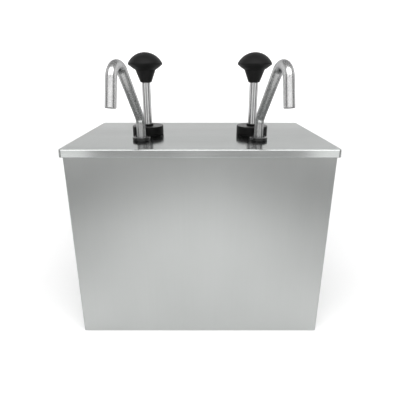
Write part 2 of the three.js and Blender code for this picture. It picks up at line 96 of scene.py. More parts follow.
def add_object(name, bm):
    """Moves a bmesh into a new object in the scene."""
    mesh = bpy.data.meshes.new(name)
    bm.to_mesh(mesh)
    bm.free()
    made = bpy.data.objects.new(name, mesh)
    bpy.context.scene.collection.objects.link(made)
    return made


def finish_mesh(name, bm, sharp=SHARP):
    """Turns a bmesh in millimetres into an object in metres, smooth but for its sharp edges."""
    bmesh.ops.remove_doubles(bm, verts=bm.verts, dist=1e-4)
    bmesh.ops.recalc_face_normals(bm, faces=bm.faces)
    bmesh.ops.scale(bm, vec=Vector((MM, MM, MM)), verts=bm.verts)
    shade(bm, sharp)
    return add_object(name, bm)


def weighted(piece):
    """Flat faces keep true normals beside narrow round edges."""
    modifier = piece.modifiers.new("normals", "WEIGHTED_NORMAL")
    modifier.mode = "FACE_AREA"
    modifier.keep_sharp = True


def bevelled(piece, width, segments=2, angle=40):
    """Rounds the edges sharper than an angle in degrees."""
    modifier = piece.modifiers.new("bevel", "BEVEL")
    modifier.width = width * MM
    modifier.segments = segments
    modifier.limit_method = "ANGLE"
    modifier.angle_limit = math.radians(angle)
    modifier.harden_normals = False


def bake_modifiers(piece):
    """Applies a piece's modifiers to its mesh."""
    graph = bpy.context.evaluated_depsgraph_get()
    baked = bpy.data.meshes.new_from_object(piece.evaluated_get(graph))
    piece.modifiers.clear()
    piece.data = baked


def combined(piece, operation, others):
    """Cuts closed others out of a closed piece, or joins them to it, and removes them."""
    for other in others:
        modifier = piece.modifiers.new("boolean", "BOOLEAN")
        modifier.operation = operation
        modifier.solver = "EXACT"
        modifier.object = other
    bake_modifiers(piece)
    for other in others:
        bpy.data.objects.remove(other)
    return piece


def cut_with(piece, *tools):
    return combined(piece, "DIFFERENCE", tools)


def join_with(piece, *others):
    return combined(piece, "UNION", others)


def mark_sharp(piece):
    """Shades a mesh that booleans have made."""
    bm = bmesh.new()
    bm.from_mesh(piece.data)
    shade(bm, SHARP)
    bm.to_mesh(piece.data)
    bm.free()
    return piece


def rounded(points, closed):
    """An outline of (x, y) or (x, y, radius) points, with each corner that has a radius turned
    into an arc of two to eight steps."""
    least, most, turn_per_step = 2, 8, 0.2
    result = []
    count = len(points)
    for i, point in enumerate(points):
        here = Vector(point[:2])
        radius = point[2] if len(point) > 2 else 0
        ends = not closed and i in (0, count - 1)
        if radius <= 0 or ends:
            result.append(here)
            continue
        before = (Vector(points[i - 1][:2]) - here).normalized()
        after = (Vector(points[(i + 1) % count][:2]) - here).normalized()
        angle = before.angle(after)
        along = radius / math.tan(angle / 2)
        centre = here + (before + after).normalized() * (radius / math.sin(angle / 2))
        start = here + before * along - centre
        turn = math.pi - angle
        if before.x * after.y - before.y * after.x > 0:
            turn = -turn
        steps = max(least, min(most, round(abs(turn) / turn_per_step)))
        for k in range(steps + 1):
            a = turn * k / steps
            c, s = math.cos(a), math.sin(a)
            reach = Vector((c * start.x - s * start.y, s * start.x + c * start.y))
            result.append(centre + reach)
    return result


def ring(bm, radius, height, place, facets):
    """One ring of a turned surface, or its single point on the axis."""
    if radius < 1e-6:
        return [bm.verts.new((place[0], place[1], height))]
    made = []
    for k in range(facets):
        a = 2 * math.pi * k / facets
        spot = (place[0] + radius * math.cos(a), place[1] + radius * math.sin(a), height)
        made.append(bm.verts.new(spot))
    return made


def skin(bm, first, second):
    """Faces from one closed ring to the next, where either may be a single point."""
    count = max(len(first), len(second))
    for k in range(count):
        n = (k + 1) % count
        corners = [first[k % len(first)], first[n % len(first)],
                   second[n % len(second)], second[k % len(second)]]
        unique = list(dict.fromkeys(corners))
        if len(unique) > 2:
            bm.faces.new(unique)


def turned(name, outline, place=(0, 0), facets=FACETS, sharp=SHARP):
    """A piece turned about an upright axis at place. The outline's points are (radius, height)
    or (radius, height, corner radius); it starts and ends on the axis or closes on itself."""
    on_axis = outline[0][0] == 0
    bm = bmesh.new()
    rings = [ring(bm, point.x, point.y, place, facets)
             for point in rounded(outline, closed=not on_axis)]
    for first, second in zip(rings, rings[1:]):
        skin(bm, first, second)
    if not on_axis:
        skin(bm, rings[-1], rings[0])
    return finish_mesh(name, bm, sharp)


def swept(name, stations, section):
    """A solid swept along stations of (point, across, over): the section's (x, y) points are laid
    out along across and over. The section is a list of loops: outer first, then a hole."""
    bm = bmesh.new()
    ends = []
    for loop in section:
        rings = []
        for point, across, over in stations:
            rings.append([bm.verts.new(point + across * x + over * y) for x, y in loop])
        for first, second in zip(rings, rings[1:]):
            skin(bm, first, second)
        ends.append((rings[0], rings[-1]))
    for side in (0, 1):
        if len(section) == 1:
            bm.faces.new(ends[0][side])
        else:
            skin(bm, ends[0][side], ends[1][side])
    return finish_mesh(name, bm)


def circle(radius, facets):
    """Points of a circle about the origin, anticlockwise."""
    turns = [2 * math.pi * k / facets for k in range(facets)]
    return [(radius * math.cos(a), radius * math.sin(a)) for a in turns]


def block(name, lowest, highest):
    """A box between two corners, for a boolean or a folded sheet."""
    bm = bmesh.new()
    bmesh.ops.create_cube(bm, size=1)
    size = Vector(highest) - Vector(lowest)
    centre = (Vector(highest) + Vector(lowest)) / 2
    bmesh.ops.scale(bm, vec=size, verts=bm.verts)
    bmesh.ops.translate(bm, vec=centre, verts=bm.verts)
    return finish_mesh(name, bm)


def drill(radius, bottom, top, place=(0, 0), facets=TOOL_FACETS):
    """A round upright tool for cut_with."""
    return turned("drill", [(0, bottom), (radius, bottom), (radius, top), (0, top)], place, facets)


def round_loop(width, depth, corner, steps=8):
    """Points of a rectangle with round corners, anticlockwise, about the origin."""
    points = []
    corner = max(corner, 0.01)
    for quarter, (sx, sy) in enumerate(((1, -1), (1, 1), (-1, 1), (-1, -1))):
        cx, cy = sx * (width / 2 - corner), sy * (depth / 2 - corner)
        for k in range(steps + 1):
            a = math.pi / 2 * (quarter - 1 + k / steps)
            points.append((cx + corner * math.cos(a), cy + corner * math.sin(a)))
    return points


def stacked(name, outlines):
    """A closed skin through level outlines of (x, y) points, each with its height, and a flat
    face on the first and the last."""
    bm = bmesh.new()
    rings = [[bm.verts.new((x, y, height)) for x, y in points] for points, height in outlines]
    for first, second in zip(rings, rings[1:]):
        skin(bm, first, second)
    bm.faces.new(rings[0])
    bm.faces.new(rings[-1])
    return finish_mesh(name, bm)


def lofted(name, loops, place=(0, 0)):
    """A closed skin through rounded rectangles, each (width, depth, corner, height)."""
    outlines = []
    for width, depth, corner, height in loops:
        points = [(place[0] + x, place[1] + y) for x, y in round_loop(width, depth, corner)]
        outlines.append((points, height))
    return stacked(name, outlines)


def ring_size(node):
    """The underside, the top and the outer radius of a round upright part."""
    lowest, highest = low(node), high(node)
    return lowest.z, highest.z, (highest.x - lowest.x) / 2


def settle(piece, body, slot, material, *nodes):
    """Puts a finished piece on its body in place of CAD nodes, with its material. The slot argument
    is not used.
    """
    piece.data.materials.clear()
    piece.data.materials.append(material)
    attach(piece, body)
    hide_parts(*nodes)
    return piece


# ---- material helpers ----

class Graph:
    """A material's node tree, with short calls for the nodes that the materials share."""

    def __init__(self, name):
        self.material = bpy.data.materials.new(name)
        self.material.use_nodes = True
        self.tree = self.material.node_tree
        self.shader = self.tree.nodes["Principled BSDF"]
        self.place = self.node("ShaderNodeTexCoord").outputs["Object"]

    def node(self, kind, **settings):
        made = self.tree.nodes.new(kind)
        for key, value in settings.items():
            setattr(made, key, value)
        return made

    def link(self, output, target):
        self.tree.links.new(output, target)

    def stretched(self, scale):
        made = self.node("ShaderNodeMapping")
        self.link(self.place, made.inputs["Vector"])
        made.inputs["Scale"].default_value = scale
        return made.outputs["Vector"]

    def noise(self, vector, scale, detail=3.0, roughness=0.6):
        made = self.node("ShaderNodeTexNoise")
        self.link(vector, made.inputs["Vector"])
        made.inputs["Scale"].default_value = scale
        made.inputs["Detail"].default_value = detail
        made.inputs["Roughness"].default_value = roughness
        return made.outputs["Fac"]

    def span(self, value, low_in, high_in, low_out, high_out):
        made = self.node("ShaderNodeMapRange")
        self.link(value, made.inputs["Value"])
        made.inputs["From Min"].default_value = low_in
        made.inputs["From Max"].default_value = high_in
        made.inputs["To Min"].default_value = low_out
        made.inputs["To Max"].default_value = high_out
        return made.outputs["Result"]

    def mix(self, fac, first, second):
        made = self.node("ShaderNodeMix", data_type="RGBA")
        self.link(fac, made.inputs["Factor"])
        for socket, value in (("A", first), ("B", second)):
            target = [s for s in made.inputs if s.name == socket and s.type == "RGBA"][0]
            if isinstance(value, tuple):
                target.default_value = (*value, 1)
            else:
                self.link(value, target)
        return [s for s in made.outputs if s.type == "RGBA"][0]

    def maths(self, operation, first, second):
        made = self.node("ShaderNodeMath", operation=operation)
        for socket, value in zip(made.inputs, (first, second)):
            if isinstance(value, (int, float)):
                socket.default_value = value
            else:
                self.link(value, socket)
        return made.outputs["Value"]

    def bump(self, height, strength, distance):
        made = self.node("ShaderNodeBump")
        made.inputs["Strength"].default_value = strength
        made.inputs["Distance"].default_value = distance * MM
        self.link(height, made.inputs["Height"])
        self.link(made.outputs["Normal"], self.shader.inputs["Normal"])

    def set(self, **values):
        for key, value in values.items():
            socket = self.shader.inputs[key.replace("_", " ").title().replace("Ior", "IOR")]
            socket.default_value = value

    def feed(self, output, socket):
        self.link(output, self.shader.inputs[socket])


def brushed(name, grain, dark, light, rough=(0.24, 0.36), marks=0.02):
    """Satin sheet steel. grain is the direction of its fine brushing, as an axis letter."""
    g = Graph(name)
    axis = "XYZ".index(grain)
    # Both noises are stretched along the grain. The scales are per metre.
    fine, cloudy = [1400.0] * 3, [14.0] * 3
    fine[axis], cloudy[axis] = 8.0, 4.0
    lines = g.noise(g.stretched(fine), 1.0, 3.0, 0.6)
    cloud = g.noise(g.stretched(cloudy), 1.0, 3.0, 0.5)
    tone = g.maths("ADD", g.maths("MULTIPLY", lines, 0.4), g.maths("MULTIPLY", cloud, 0.6))
    g.feed(g.mix(g.span(tone, 0.35, 0.65, 0.0, 1.0), dark, light), "Base Color")
    g.feed(g.span(tone, 0.3, 0.7, *rough), "Roughness")
    g.set(metallic=1.0, specular_tint=(0.55, 0.55, 0.55, 1.0))
    g.bump(lines, marks, 0.01)
    return g.material


def polished(name, colour, rough=(0.05, 0.12)):
    """Bright drawn metal with a thin haze and fine upright scuffs."""
    g = Graph(name)
    haze = g.noise(g.place, 60.0, 4.0, 0.6)
    scuffs = g.noise(g.stretched((900.0, 900.0, 30.0)), 1.0, 3.0, 0.6)
    darker = tuple(c * 0.9 for c in colour)
    g.feed(g.mix(g.span(haze, 0.35, 0.65, 0.0, 1.0), darker, colour), "Base Color")
    g.feed(g.span(scuffs, 0.35, 0.7, *rough), "Roughness")
    g.set(metallic=1.0, specular_tint=(0.45, 0.45, 0.46, 1.0))
    g.bump(scuffs, 0.012, 0.02)
    return g.material


def plastic(name, dark, light, rough, grain_size, grain_depth, gloss=0.5):
    """Moulded plastic or rubber with a fine grain, which grain_depth gives in millimetres."""
    g = Graph(name)
    g.set(specular_ior_level=gloss)
    fine = g.noise(g.place, grain_size, 3.0, 0.6)
    cloud = g.noise(g.place, 45.0, 3.0, 0.6)
    g.feed(g.mix(g.span(cloud, 0.35, 0.65, 0.0, 1.0), dark, light), "Base Color")
    g.feed(g.span(fine, 0.3, 0.7, *rough), "Roughness")
    g.bump(fine, 0.25, grain_depth)
    return g.material


def grey(value):
    return (value, value, value)


HOUSING_STEEL = brushed("housing_steel", "Z", (0.458, 0.470, 0.463), (0.486, 0.498, 0.491),
                        rough=(0.27, 0.31), marks=0.01)
LID_STEEL = brushed("lid_steel", "X", (0.45, 0.466, 0.458), (0.56, 0.576, 0.568),
                    rough=(0.12, 0.17), marks=0.005)
TUB_STEEL = brushed("container_steel", "Z", (0.50, 0.50, 0.51), (0.60, 0.60, 0.61))
TUBE_STEEL = brushed("cylinder_steel", "Z", (0.55, 0.55, 0.56), (0.66, 0.66, 0.67), (0.18, 0.28))
SPOUT_STEEL = polished("spout_steel", grey(0.46), (0.24, 0.31))
ROD_STEEL = polished("rod_steel", grey(0.47), (0.16, 0.22))
VALVE_STEEL = polished("valve_steel", (0.72, 0.72, 0.73))
SPRING_STEEL = polished("spring_steel", (0.55, 0.55, 0.57), (0.2, 0.3))
BRASS = polished("brass", (0.72, 0.53, 0.24), (0.15, 0.25))
KNOB_BLACK = plastic("knob_black", grey(0.005), grey(0.008), (0.45, 0.56), 2600.0, 0.02, 0.12)
COLLAR_BLACK = plastic("collar_black", grey(0.004), grey(0.006), (0.26, 0.34), 1800.0, 0.01, 0.06)
NUT_BLACK = plastic("nut_black", grey(0.007), grey(0.010), (0.15, 0.22), 1800.0, 0.01, 0.5)
VALVE_BLACK = plastic("valve_black", (0.020, 0.020, 0.022), (0.032, 0.032, 0.034), (0.40, 0.50),
                      1500.0, 0.03)
RUBBER = plastic("rubber", grey(0.012), grey(0.022), (0.65, 0.8), 1200.0, 0.03)
WHITE_ACETAL = plastic("white_acetal", (0.72, 0.72, 0.68), (0.80, 0.80, 0.76), (0.35, 0.5),
                       1500.0, 0.02)


# ---- radii that several pieces share ----

NECK_HOLE = 14.6                # round the cylinder and its threaded neck
SPOUT_HOLE = 8.8                # round the spout's bush
STUD_HOLE = 4.3                 # round the thin ends of the plunger rod
TUBE_HOLE = 6.9                 # round the spout tube, the plunger rod and the valve balls
CYLINDER_BORE = 12.7


# ---- lid ----

def lid_piece():
    width = LID_HIGH.x - LID_LOW.x
    depth = LID_HIGH.y - LID_LOW.y
    corner, bend, steps = 5.0, 1.6, 6
    # The flange leans out a little towards its lower edge, which is rolled to a narrow lip. Each
    # pair is how far in from the widest line, and how far above the lower edge.
    lip = [(0.3, 0.0), (0.08, 0.12), (0.0, 0.4), (0.04, 0.8), (0.16, 1.4)]
    lean = 0.45
    profile = [(inset, LID_LOW.z + height) for inset, height in lip]
    profile.append((lean, LID_TOP - bend - 0.4))
    for k in range(steps + 1):
        a = math.pi / 2 * k / steps
        profile.append((lean + bend * (1 - math.cos(a)), LID_TOP - bend + bend * math.sin(a)))
    profile.append((lean + bend + 0.5, LID_TOP))
    outside = lofted("lid_steel_sheet", [
        (width - 2 * inset, depth - 2 * inset, corner - inset, height)
        for inset, height in profile])
    inner_w, inner_d = width - 2 * SHEET, depth - 2 * SHEET
    inside = lofted("lid_inside", [
        (inner_w, inner_d, corner - SHEET, LID_LOW.z - 1),
        (inner_w, inner_d, corner - SHEET, LID_TOP - bend),
        (inner_w - 1, inner_d - 1, corner - SHEET, LID_TOP - SHEET - 0.5),
        (inner_w - 2.4, inner_d - 2.4, corner - SHEET - 0.8, LID_TOP - SHEET),
    ])
    drills = []
    for side in SIDES:
        neck = middle(f"cylinder_{side}")
        riser = middle(f"spout_bush_{side}")
        for spot, radius in ((neck, NECK_HOLE), (riser, SPOUT_HOLE)):
            drills.append(drill(radius, LID_TOP - 4, LID_TOP + 2, spot[:2]))
    piece = mark_sharp(cut_with(outside, inside, *drills))
    weighted(piece)
    return settle(piece, "lid", "lid", LID_STEEL, "lid")


# ---- housing ----

def wall_section(half, back, front, thickness, bend):
    """The U of the front and sides in plan: (x, y) points, anticlockwise, round at the bends."""
    inner = max(bend - thickness, 0.4)
    return [
        (-half, back), (-half, front, bend), (half, front, bend), (half, back),
        (half - thickness, back), (half - thickness, front + thickness, inner),
        (-half + thickness, front + thickness, inner), (-half + thickness, back),
    ]


def extruded(name, outline, bottom, top):
    points = [(p.x, p.y) for p in rounded(outline, closed=True)]
    return stacked(name, [(points, bottom), (points, top)])


def housing_wrap_piece():
    half = WALL_HIGH.x
    back, front = WALL_HIGH.y, WALL_LOW.y
    sheet = extruded("housing_wrap_sheet", wall_section(half, back, front, SHEET, 3.0),
                     WALL_LOW.z, WALL_HIGH.z)
    hem_low = WALL_HIGH.z - HEM
    hem_section = wall_section(half - SHEET / 2, back, front + SHEET / 2, 1.5 * SHEET, 2.4)
    hem = extruded("hem", hem_section, hem_low, WALL_HIGH.z - 0.1)
    piece = mark_sharp(join_with(sheet, hem))
    bevelled(piece, 0.25)
    weighted(piece)
    return settle(piece, "housing", "housing", HOUSING_STEEL, "housing_wrap")


def housing_back_piece():
    front, top = low("housing_back").y, high("housing_back").z
    half, back = high("housing_back").x, high("housing_back").y
    hem_low = top - HEM
    hem_half, mid_sheet = half - SHEET, back - SHEET / 2
    piece = block("housing_back_sheet", (-half, back - SHEET, 0), (half, back, hem_low - GAP))
    parts = [
        block("upper", (-hem_half, back - SHEET, hem_low - 1), (hem_half, back, top)),
        block("hem", (-hem_half, back - 2 * SHEET, hem_low), (hem_half, mid_sheet, top - 0.1)),
        block("flange_a", (half - SHEET, front, 0), (half, mid_sheet, hem_low - GAP)),
        block("flange_b", (-half, front, 0), (-half + SHEET, mid_sheet, hem_low - GAP)),
    ]
    piece = mark_sharp(join_with(piece, *parts))
    bevelled(piece, 0.3)
    weighted(piece)
    return settle(piece, "housing", "housing", HOUSING_STEEL, "housing_back")


def base_piece():
    lowest, highest = low("base_plate"), high("base_plate")
    width, depth = highest.x - lowest.x, highest.y - lowest.y
    centre = middle("base_plate")
    tray = lofted("base_sheet", [
        (width - 2, depth - 2, 0.5, 0.0),
        (width - 0.6, depth - 0.6, 1.0, 0.3),
        (width, depth, 1.3, 1.0),
        (width, depth, 1.3, highest.z),
    ], centre[:2])
    hollow = lofted("base_hollow", [
        (width - 2 * SHEET, depth - 2 * SHEET, 0.6, SHEET),
        (width - 2 * SHEET, depth - 2 * SHEET, 0.6, highest.z + 2),
    ], centre[:2])
    piece = mark_sharp(cut_with(tray, hollow))
    weighted(piece)
    return settle(piece, "housing", "housing", HOUSING_STEEL, "base_plate")


# ---- containers ----

def container_piece(side):
    node = f"container_{side}"
    lowest, highest = low(node), high(node)
    place = middle(node)[:2]
    rim, corner, bend, wall, steps = 3.0, 18.0, 8.0, 1.0, 6
    bottom, top = lowest.z, highest.z
    width, depth = highest.x - lowest.x - 2 * rim, highest.y - lowest.y - 2 * rim

    def bowl(inward):
        """The rounded foot of the tub, on a line that far inside its outer face."""
        loops = []
        radius = bend - inward
        for k in range(steps + 1):
            a = math.pi / 2 * k / steps
            inset = radius * (1 - math.sin(a)) + inward
            loops.append((width - 2 * inset, depth - 2 * inset, corner - inset,
                          bottom + inward + radius * (1 - math.cos(a))))
        return loops

    # The rim is rolled outward into a bead that stands off the wall.
    bead, first, last, bead_steps = rim / 2, -150, 90, 10
    outside = bowl(0)
    outside.append((width, depth, corner, top - rim - 1.0))
    for k in range(bead_steps + 1):
        a = math.radians(first + (last - first) * k / bead_steps)
        reach = bead * (1 + math.cos(a))
        outside.append((width + 2 * reach, depth + 2 * reach, corner + reach,
                        top - bead + bead * math.sin(a)))
    inside = bowl(wall)
    inside.append((width - 2 * wall, depth - 2 * wall, corner - wall, top + 2))
    tub = lofted(f"container_{side}_tub", outside, place)
    piece = mark_sharp(cut_with(tub, lofted("tub_inside", inside, place)))
    weighted(piece)
    return settle(piece, node, "container", TUB_STEEL, node)


# ---- pump pieces ----

def knob_piece(side):
    node = f"knob_{side}"
    bottom, top, rim_radius = ring_size(node)
    socket_radius, socket_depth = 6.0, 21.0
    foot, neck_radius, neck_height = 8.6, 15.4, 18.7
    rim_height, edge, flare, flare_steps, dome_steps = 26.2, 2.0, 1.2, 8, 24
    socket_top = bottom + socket_depth
    outline = [
        (0, socket_top), (socket_radius, socket_top), (socket_radius, bottom, 0.4),
        (foot, bottom, 1.2), (neck_radius, bottom + neck_height, 2.0)]
    for k in range(1, flare_steps):
        t = k / flare_steps
        outline.append((neck_radius + (rim_radius - 0.3 - neck_radius) * t,
                        bottom + neck_height + (rim_height - neck_height) * t ** flare))
    outline.append((rim_radius, bottom + rim_height, 0.7))
    shoulder = bottom + rim_height + edge
    outline.append((rim_radius, shoulder, 1.2))
    rise = top - shoulder
    dome = (rim_radius ** 2 + rise ** 2) / (2 * rise)
    sweep = math.asin(rim_radius / dome)
    for k in range(1, dome_steps):
        a = sweep * (1 - k / dome_steps)
        outline.append((dome * math.sin(a), top - dome * (1 - math.cos(a))))
    outline.append((0, top))
    piece = turned(f"knob_{side}_moulding", outline, middle(node)[:2], 128, sharp=40)
    return settle(piece, f"plunger_{side}", "knob", KNOB_BLACK, node)


def rod_piece(side):
    node = f"plunger_rod_{side}"
    bottom, top, radius = ring_size(node)
    stud = 4.0
    shoulder = high(f"piston_{side}").z + GAP
    foot = low(f"knob_{side}").z - GAP
    piece = turned(f"plunger_rod_{side}_bar", [
        (0, bottom), (stud, bottom, 0.5), (stud, shoulder), (radius, shoulder, 0.5),
        (radius, foot, 0.4), (stud, foot), (stud, top, 0.5), (0, top)], middle(node)[:2])
    return settle(piece, f"plunger_{side}", "rod", ROD_STEEL, node)


def collar_piece(side):
    node = f"collar_nut_{side}"
    bottom, top, radius = ring_size(node)
    roof, mouth = 3.0, 8.8
    piece = turned(f"collar_nut_{side}_cap", [
        (NECK_HOLE, bottom), (radius, bottom, 0.5), (radius, top, 1.0), (mouth, top, 0.4),
        (mouth, top - roof), (NECK_HOLE, top - roof)], middle(node)[:2], 128)
    return settle(piece, "lid", "collar", COLLAR_BLACK, node)


def guide_bush_piece(side):
    node = f"guide_bush_{side}"
    bottom, top, radius = ring_size(node)
    neck = 8.5
    shoulder = high(f"cylinder_{side}").z
    piece = turned(f"guide_bush_{side}_sleeve", [
        (TUBE_HOLE, bottom, 0.3), (radius, bottom, 0.3), (radius, shoulder, 0.3),
        (neck, shoulder), (neck, top, 0.7), (TUBE_HOLE, top, 0.3)], middle(node)[:2])
    return settle(piece, "lid", "collar", COLLAR_BLACK, node)


def cylinder_piece(side):
    node = f"cylinder_{side}"
    bottom, top, flange = ring_size(node)
    place = middle(node)[:2]
    radius, flange_depth, vent_radius, vent_below = 14.3, 3.0, 1.5, 20
    flange_top = low(f"neck_gasket_{side}").z - GAP
    flange_bottom = flange_top - flange_depth
    piece = turned(f"cylinder_{side}_tube", [
        (CYLINDER_BORE, bottom, 0.3), (radius, bottom, 0.4), (radius, flange_bottom, 1.0),
        (flange, flange_bottom, 0.5), (flange, flange_top, 0.5), (radius, flange_top),
        (radius, top, 0.4), (CYLINDER_BORE, top, 0.3)], place)
    vent = drill(vent_radius, 0, 2 * radius, facets=24)
    across = Matrix.Rotation(math.pi / 2, 4, "Y")
    start = Vector((*place, flange_bottom - vent_below)) * MM
    vent.data.transform(Matrix.Translation(start) @ across)
    piece = mark_sharp(cut_with(piece, vent))
    return settle(piece, "lid", "cylinder", TUBE_STEEL, node)


def valve_piece(side):
    """The valve body's outside in one moulding, with its sockets and drillings cut out."""
    node = f"valve_body_{side}"
    bottom, top = low(node).z, high(node).z
    axis = middle(f"cylinder_{side}").xy
    riser = middle(f"spout_bush_{side}").xy
    body_radius, branch, half_bridge = 18.0, 10.5, 7
    port, seat, groove, groove_height = 4.0, 3.0, 8.5, 3
    socket_floor = low(f"cylinder_{side}").z - GAP
    body_top = socket_floor + 13.0
    chamber_floor = socket_floor - 9.0
    ball_stop = chamber_floor - 3.0
    port_z = chamber_floor + 4.5
    seat_level = port_z + 7.0
    groove_low = low(f"discharge_tube_{side}").z + 8.0
    reach = (riser - axis).length
    toward = Matrix.Rotation(math.atan2(riser.x - axis.x, axis.y - riser.y), 4, "Z")
    place = Matrix.Translation(Vector((*axis, port_z)) * MM) @ toward

    body = turned(f"valve_body_{side}_casting", [
        (0, bottom), (body_radius, bottom, 1.2), (body_radius, body_top, 1.2), (0, body_top)], axis)
    post_foot = port_z - half_bridge
    post = turned("post", [
        (0, post_foot), (branch, post_foot, 1.5), (branch, top, 1.0), (0, top)], riser, 72)
    bridge = block("bridge", (-half_bridge, -reach, -half_bridge), (half_bridge, 0, half_bridge))
    bridge.data.transform(place)
    bevelled(bridge, 2.0, 4)
    bake_modifiers(bridge)
    body = join_with(body, post, bridge)

    crossing = drill(port, 0, reach, facets=32)
    crossing.data.transform(place @ Matrix.Rotation(math.pi / 2, 4, "X"))
    tools = [drill(*tool) for tool in (
        (NECK_HOLE, socket_floor, body_top + 2, axis),
        (CYLINDER_BORE, chamber_floor, socket_floor + 1, axis),
        (port, ball_stop - 1, chamber_floor + 1, axis),
        (TUBE_HOLE, bottom - 2, ball_stop, axis),
        (seat, port_z, seat_level + 1, riser),
        (TUBE_HOLE, seat_level, top + 2, riser),
        (groove, groove_low, groove_low + groove_height, riser))]
    piece = mark_sharp(cut_with(body, *tools, crossing))
    weighted(piece)
    return settle(piece, "lid", "valve_body", VALVE_BLACK, node)


def ring_piece(side, stem, inner, edge, body, slot, material):
    """A plain ring with rounded edges: insert, seal, gasket, seat or nut."""
    node = f"{stem}_{side}"
    bottom, top, radius = ring_size(node)
    piece = turned(f"{stem}_{side}_ring", [
        (inner, bottom, edge / 2), (radius, bottom, edge), (radius, top, edge),
        (inner, top, edge / 2)], middle(node)[:2])
    return settle(piece, body, slot, material, node)


def piston_piece(side):
    node = f"piston_{side}"
    bottom, top, radius = ring_size(node)
    groove, groove_height = 10.2, 3.2
    groove_low = (bottom + top - groove_height) / 2
    groove_top = groove_low + groove_height
    piece = turned(f"piston_{side}_head", [
        (STUD_HOLE, bottom), (radius, bottom, 0.6), (radius, groove_low, 0.2),
        (groove, groove_low), (groove, groove_top), (radius, groove_top, 0.2),
        (radius, top, 0.6), (STUD_HOLE, top)], middle(node)[:2])
    return settle(piece, f"plunger_{side}", "piston", WHITE_ACETAL, node)


def piston_nut_piece(side):
    node = f"piston_nut_{side}"
    bottom, top, corner = ring_size(node)
    facets = 48
    stations = [(Vector((*middle(node).xy, z)), Vector((1, 0, 0)), Vector((0, 1, 0)))
                for z in (bottom, top)]
    hexagon = []
    for k in range(facets):
        a = 2 * math.pi * k / facets
        reach = corner * math.cos(math.pi / 6) / math.cos((a % (math.pi / 3)) - math.pi / 6)
        hexagon.append((reach * math.cos(a), reach * math.sin(a)))
    piece = swept(f"piston_nut_{side}_hex", stations, [hexagon, circle(STUD_HOLE, facets)])
    bevelled(piece, 0.3)
    return settle(piece, f"plunger_{side}", "rod", VALVE_STEEL, node)


def spring_piece(side):
    node = f"return_spring_{side}"
    bottom, top, outer = ring_size(node)
    centre = middle(node)
    wire, turns, per_turn = 0.9, 8, 48
    radius = outer - wire
    count = turns * per_turn
    stations = []
    for k in range(count + 1):
        a = 2 * math.pi * k / per_turn
        z = bottom + wire + (top - bottom - 2 * wire) * k / count
        out = Vector((math.cos(a), math.sin(a), 0))
        stations.append((Vector((centre.x, centre.y, z)) + out * radius, out, UP))
    piece = swept(f"return_spring_{side}_coil", stations, [circle(wire, 12)])
    settle(piece, "lid", "spring", SPRING_STEEL, node)
    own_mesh(piece)
    return piece


def ball_piece(side, stem):
    node = f"{stem}_{side}"
    radius = (high(node).z - low(node).z) / 2
    centre = middle(node)
    steps = 24
    outline = [(0, centre.z - radius)]
    for k in range(1, steps):
        a = math.pi * (k / steps - 0.5)
        outline.append((radius * math.cos(a), centre.z + radius * math.sin(a)))
    outline.append((0, centre.z + radius))
    piece = turned(f"{stem}_{side}_sphere", outline, centre[:2], 48)
    return settle(piece, node, "valve_steel", VALVE_STEEL, node)


# ---- spout ----

# The tube rises, bends forward to a slope, arches over and drops. Heights are above the lid's top,
# the arch's centre is so far forward of the riser, and the angles are in degrees.
BEND_HEIGHT, BEND_RADIUS, SLOPE = 30.6, 18.0, 48.6
ARCH_FORWARD, ARCH_HEIGHT, ARCH_RADIUS = 75.0, 85.1, 20.3
DROP, OUTLET, YAW = 13.5, 58.9, 8.0


def spout_stations(side):
    """The tube's centreline from its foot in the valve body to the outlet, finely stepped."""
    riser = middle(f"spout_bush_{side}")
    base = Vector((riser.x, riser.y, 0))
    yaw = math.radians(YAW) * SIDES[side]
    ahead = Vector((math.sin(yaw), -math.cos(yaw), 0))
    across = Vector((math.cos(yaw), math.sin(yaw), 0))
    upright, slope, drop = math.pi / 2, math.radians(SLOPE), math.radians(DROP)

    def station(forward, height, heading):
        over = ahead * -math.sin(heading) + UP * math.cos(heading)
        return base + ahead * forward + UP * height, across, over

    def arc(forward, height, radius, start, stop, steps):
        headings = [start + (stop - start) * k / steps for k in range(steps + 1)]
        return [station(forward - radius * math.sin(heading),
                        height + radius * math.cos(heading), heading) for heading in headings]

    bend_centre = LID_TOP + BEND_HEIGHT - BEND_RADIUS * math.tan((upright - slope) / 2)
    stations = [station(0, low(f"discharge_tube_{side}").z, upright)]
    stations += arc(BEND_RADIUS, bend_centre, BEND_RADIUS, upright, slope, 14)
    stations += arc(ARCH_FORWARD, LID_TOP + ARCH_HEIGHT, ARCH_RADIUS, slope, drop - upright, 36)
    arch_end = stations[-1][0]
    outlet = LID_TOP + OUTLET
    forward = (arch_end - base).dot(ahead) + (arch_end.z - outlet) * math.tan(drop)
    stations.append(station(forward, outlet, drop - upright))
    return stations


def spout_piece(side):
    node = f"discharge_tube_{side}"
    radius, wall = 6.57, 1.2
    piece = swept(f"spout_{side}_tube", spout_stations(side),
                  [circle(radius, 64), circle(radius - wall, 64)])
    bevelled(piece, 0.25, 2, 60)
    return settle(piece, f"spout_{side}", "spout", SPOUT_STEEL, node)


def spout_bush_piece(side):
    node = f"spout_bush_{side}"
    bottom, top, flange = ring_size(node)
    radius, flange_top = 8.5, bottom + 2.5
    piece = turned(f"spout_bush_{side}_sleeve", [
        (TUBE_HOLE, bottom), (flange, bottom, 0.4), (flange, flange_top, 0.4),
        (radius, flange_top), (radius, top, 0.4), (TUBE_HOLE, top, 0.3)], middle(node)[:2])
    return settle(piece, "lid", "valve_steel", VALVE_STEEL, node)


# ---- assembly ----

